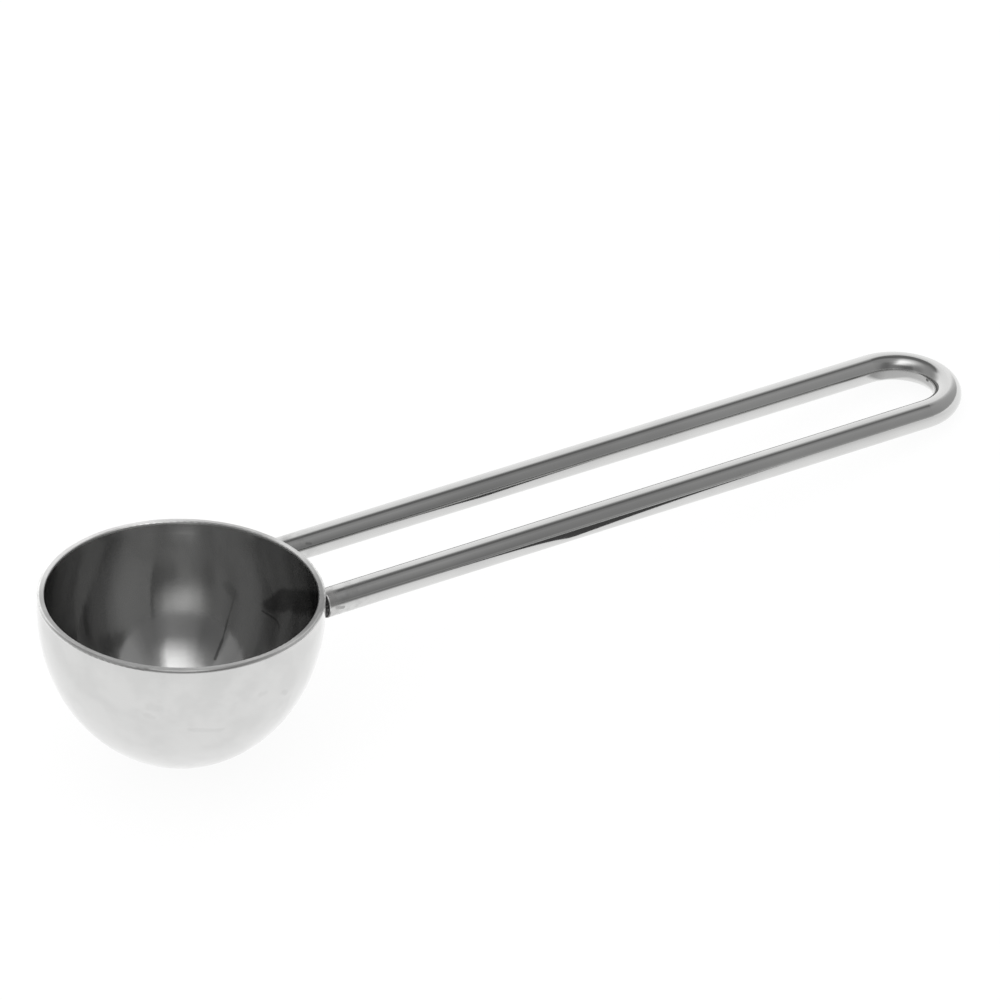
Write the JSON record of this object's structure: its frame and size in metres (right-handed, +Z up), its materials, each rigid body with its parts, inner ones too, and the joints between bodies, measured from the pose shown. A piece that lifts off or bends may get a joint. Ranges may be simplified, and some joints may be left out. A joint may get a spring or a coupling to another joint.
{
  "type": "measuring spoon",
  "caption": "Coffee measuring spoon: a deep round polished steel bowl with a long hairpin handle bent from one round rod and welded under the rim.",
  "frame": {"origin": "centre of the rim plane, on the bowl's axis, level with the flat rim that measures are struck off against", "axes": "+Z up out of the bowl along its axis, +X along the handle from the bowl to the end of the loop, +Y to the left"},
  "size_m": [0.1742, 0.0464, 0.0297],
  "materials": {
    "bowl_steel": "polished",
    "rod_steel": "polished",
    "weld_steel": "matte"
  },
  "bodies": {
    "root": {"bowl": "bowl_steel", "handle_rod": "rod_steel", "left_weld": "weld_steel", "right_weld": "weld_steel"}
  },
  "joints": []
}
